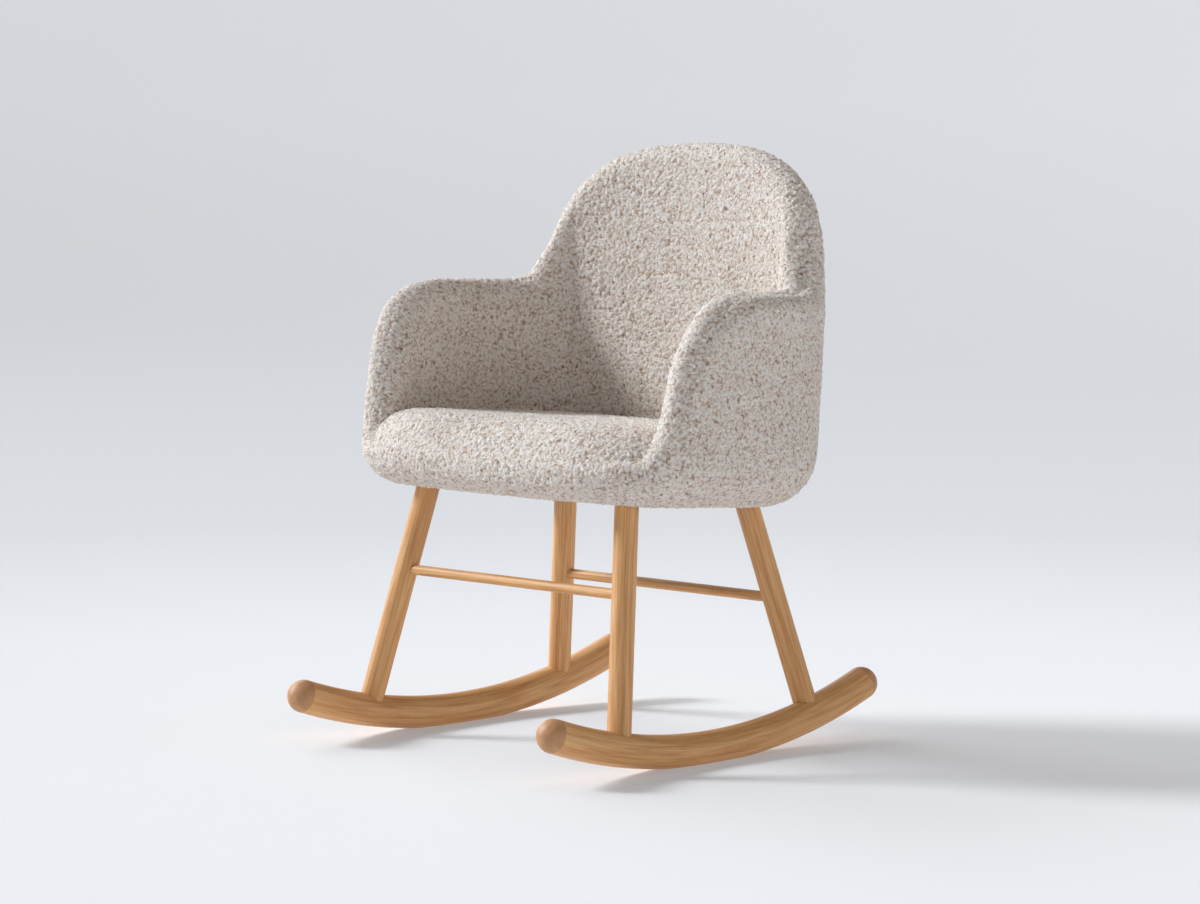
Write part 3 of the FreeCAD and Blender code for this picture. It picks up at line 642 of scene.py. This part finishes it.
def seat_form():
    """The seat cushion with its rounded front, as a closed mesh that reaches down into the tub"""
    around, rings = 180, 40
    angle = np.linspace(-math.pi, math.pi, around, endpoint=False)
    edge, open_front = seat_edge(angle, SEAT_FRONT_INSET, WALL_THICKNESS - SEAT_WALL_OVERLAP)
    rows = []
    for share in np.sin(np.linspace(math.pi / 2, 0, rings)):
        depth = (1 - share) * edge
        past = np.clip(1 - depth / SEAT_FRONT_ROUND, 0, 1)
        rounded = (1 - past ** SEAT_FRONT_POWER) ** (1 / SEAT_FRONT_POWER)
        front = SEAT_FRONT_LEVEL + (SEAT_CROWN - SEAT_FRONT_LEVEL) * rounded
        wall = SEAT_CROWN - SEAT_EDGE_DROP * np.clip(1 - depth / SEAT_EDGE_ROUND, 0, 1) ** 2
        level = wall + (front - wall) * open_front
        radius = share * edge
        rows.append(np.stack([radius * np.sin(angle), WIDEST_AT + radius * np.cos(angle), level], 1))
    foot = rows[0].copy()
    foot[:, 2] = SEAT_FOOT_LEVEL
    points = np.concatenate([foot] + rows)
    faces = [tuple(range(around))]
    for ring in range(len(rows)):
        start = ring * around
        for i in range(around):
            j = (i + 1) % around
            faces.append((start + j, start + i, start + around + i, start + around + j))
    return closed_mesh("seat_form", points, faces)


def swollen(mesh, voxel, most, pressure=4.0, frames=20):
    """A closed form blown up like a stuffed cover, no point moving further than most"""
    obj = united("swelling", [mesh], voxel)
    before = points_of(obj.data)
    cloth = obj.modifiers.new("cover", "CLOTH")
    cloth.settings.quality = 6
    cloth.settings.use_pressure = True
    cloth.settings.uniform_pressure_force = pressure
    cloth.settings.effector_weights.gravity = 0
    for number in range(1, frames + 1):
        scene.frame_set(number)
    applied(obj)
    scene.frame_set(1)
    move = points_of(obj.data) - before
    length = np.linalg.norm(move, axis=1, keepdims=True)
    move *= np.minimum(1, most / np.maximum(length, 1e-9))
    set_points(obj.data, before + move)
    result = obj.data
    bpy.data.objects.remove(obj)
    return result


def prism(inset, low, high, around=180):
    """A closed block that follows the tub's plan, between two levels above its underside"""
    angle = np.linspace(-math.pi, math.pi, around, endpoint=False)
    outline = plan(angle)
    middle = np.array((0, WIDEST_AT))
    reach = np.linalg.norm(outline - middle, axis=1, keepdims=True)
    outline = middle + (outline - middle) * (1 - inset / reach)
    points = np.concatenate([np.column_stack([outline, np.full(around, level)]) for level in (low, high)])
    faces = [tuple(range(around)), tuple(range(2 * around - 1, around - 1, -1))]
    faces += [(i, around + i, around + (i + 1) % around, (i + 1) % around) for i in range(around)]
    return closed_mesh("prism", points, faces)


def masked_smooth(obj, weights, times):
    """Even out a net where the weights say so"""
    group = obj.vertex_groups.new(name="even")
    for index in np.nonzero(weights > 0.01)[0]:
        group.add([int(index)], float(weights[index]), "REPLACE")
    smooth = obj.modifiers.new("even", "SMOOTH")
    smooth.factor = 0.5
    smooth.iterations = times
    smooth.vertex_group = group.name
    applied(obj)
    obj.vertex_groups.clear()


def seat_polar(points):
    """Points in the seat frame, their plan angle and their depth inside the tub's outline"""
    local = to_seat(points)
    angle = np.arctan2(local[:, 0], local[:, 1] - WIDEST_AT)
    outline = plan(angle) - (0, WIDEST_AT)
    depth = np.hypot(outline[:, 0], outline[:, 1]) - np.hypot(local[:, 0], local[:, 1] - WIDEST_AT)
    return local, angle, depth


def pad_arms(obj):
    """Fill out the inside and the front of each arm, and sink the upright line where it meets the back"""
    points, normals = points_of(obj.data), normals_of(obj.data)
    local, angle, _ = seat_polar(points)
    out = np.stack([local[:, 0], local[:, 1] - WIDEST_AT, np.zeros(len(local))], 1)
    radius = np.linalg.norm(out, axis=1, keepdims=True)
    out = from_seat(out / np.maximum(radius, 1e-6)) - (0, 0, SEAT_HEIGHT)
    inside = step(*CREASE_FACING, -(normals * out).sum(1))
    level = step(*CREASE_RISE, local[:, 2]) * (1 - step(*CREASE_FADE, local[:, 2]))
    away = np.abs(np.abs(angle) - CREASE_ANGLE) * radius[:, 0]
    sink = CREASE_DEPTH * np.exp(-away / CREASE_WIDTH) * inside * level
    inward = np.stack([-ARM_WAY[0] * np.sign(local[:, 0]), np.full(len(local), -ARM_WAY[1]),
                       np.zeros(len(local))], 1)
    facing = step(*ARM_FACING, (normals * inward).sum(1))
    arm = step(CREASE_ANGLE, CREASE_ANGLE + ARM_BLEND, np.abs(angle)) * (1 - step(*ARM_END, np.abs(angle)))
    swell = ARM_PAD * facing * arm * step(*ARM_RISE, local[:, 2])
    set_points(obj.data, points + out * sink[:, None] + normals * swell[:, None])


fabric = boucle()
SOFT_WALL = ["outer_cover", "outer_foam", "inner_foam", "inner_cover", "front_roll"]

seat_mesh = swollen(seat_form(), SWELL_VOXEL, SEAT_SWELL)
wall_meshes = [nodes[name].data for name in SOFT_WALL + ["tub_shell"]]
filling = prism(FILL_INSET, FILL_LOW, FILL_HIGH)
upholstery = united("upholstery", wall_meshes + [seat_mesh, filling], PILE_VOXEL)
smoothed(upholstery, NET_SMOOTH)
local, angle, _ = seat_polar(points_of(upholstery.data))
front = step(*FRONT_TURN, np.abs(angle))
band = step(*FRONT_BAND_RISE, local[:, 2]) * (1 - step(*FRONT_BAND_FADE, local[:, 2]))
masked_smooth(upholstery, front * band, FRONT_SMOOTH)
masked_smooth(upholstery, step(*UPPER_RISE, local[:, 2]), UPPER_SMOOTH)
pad_arms(upholstery)
smoothed(upholstery, LAST_SMOOTH)
local, _, depth = seat_polar(points_of(upholstery.data))
pile(upholstery, (local[:, 2] < BARE_BELOW) & (depth > BARE_INSIDE))
wear(upholstery, fabric)
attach(upholstery, "root")
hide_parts(*SOFT_WALL, "seat_foam", "seat_cover")


# Wood and hidden pieces

def runner_point(side, sweep):
    """A point on a runner's centreline"""
    return Vector((side * RUNNER_SPACING / 2, RUNNER_SET_BACK + RUNNER_RADIUS * math.sin(sweep),
                   RUNNER_CENTRE - RUNNER_RADIUS * math.cos(sweep)))


def leg_line(side, end):
    """Foot and top of a leg's centreline"""
    x, y, z = LEG_TOP[end]
    return runner_point(side, LEG_FOOT_SWEEP[end]), Vector((side * x, y, z))


for word, side in SIDES.items():
    wear(nodes[f"runner_{word}"], runner_wood(f"oak_runner_{word}", side))
    for end in LEG_TOP:
        foot, top = leg_line(side, end)
        wear(nodes[f"leg_{end}_{word}"], straight_wood(f"oak_leg_{end}_{word}", foot, top - foot))
for end in LEG_TOP:
    low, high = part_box(f"stretcher_{end}")
    bar_wood = straight_wood(f"oak_stretcher_{end}", (low + high) / 2, Vector((1, 0, 0)))
    wear(nodes[f"stretcher_{end}"], bar_wood)

board_wood, steel = plywood(), plated_steel()
for name in ("base_board", "seat_board", "tub_shell", "front_rail", "rear_rail"):
    wear(nodes[name], board_wood)
for name in ("rail_bolts", "tee_nuts", "shell_screws", "cloth_staples"):
    wear(nodes[name], steel)


# Dust cloth

def leg_punch():
    """Round bars where the legs pass through the cloth"""
    net = bmesh.new()
    for side, end in itertools.product(SIDES.values(), LEG_TOP):
        foot, top = leg_line(side, end)
        ends = to_seat(np.array([foot, top]))
        through = foot.lerp(top, float(ends[0, 2] / (ends[0, 2] - ends[1, 2])))
        turn = (top - foot).to_track_quat("Z", "Y").to_matrix().to_4x4()
        bmesh.ops.create_cone(net, cap_ends=True, segments=48, radius1=LEG_HOLE_RADIUS,
                              radius2=LEG_HOLE_RADIUS, depth=LEG_PUNCH_LENGTH,
                              matrix=Matrix.Translation(through) @ turn)
    mesh = bpy.data.meshes.new("leg_punch")
    net.to_mesh(mesh)
    net.free()
    punch = bpy.data.objects.new("leg_punch", mesh)
    scene.collection.objects.link(punch)
    return punch


def dust_sheet():
    """Thin cloth stapled under the tub: it sags a little and puckers between its staples"""
    around, rings = 160, 24
    angle = np.linspace(-math.pi, math.pi, around, endpoint=False)
    edge = inset_plan(angle, DUST_CLOTH_INSET) - (0, WIDEST_AT)
    rows = []
    for share in np.linspace(1, 1 / rings, rings):
        sag = DUST_CLOTH_SAG * max(0.0, 1 - (share / DUST_CLOTH_LOOSE) ** 2)
        pucker = DUST_CLOTH_PUCKER * math.exp(-((1 - share) / PUCKER_REACH) ** 2)
        level = DUST_CLOTH_TOP - sag - pucker * (1 + np.cos(STAPLES_AROUND * angle)) / 2
        rows.append(np.column_stack([edge * share + (0, WIDEST_AT), level]))
    middle = np.array([[0, WIDEST_AT, DUST_CLOTH_TOP - DUST_CLOTH_SAG]])
    points = from_seat(np.concatenate(rows + [middle]))
    faces = []
    for i in range(around):
        j = (i + 1) % around
        faces += [(r * around + j, r * around + i, (r + 1) * around + i, (r + 1) * around + j)
                  for r in range(rings - 1)]
        faces.append(((rings - 1) * around + j, (rings - 1) * around + i, rings * around))
    sheet = mesh_object("dust_sheet", points, faces)
    thick = sheet.modifiers.new("thick", "SOLIDIFY")
    thick.thickness = DUST_CLOTH_THICKNESS
    thick.offset = -1
    punch = leg_punch()
    holes = sheet.modifiers.new("holes", "BOOLEAN")
    holes.object = punch
    holes.solver = "EXACT"
    applied(sheet)
    bpy.data.objects.remove(punch)
    return sheet


dust = dust_sheet()
wear(dust, non_woven())
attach(dust, "root")
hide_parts("dust_cloth")
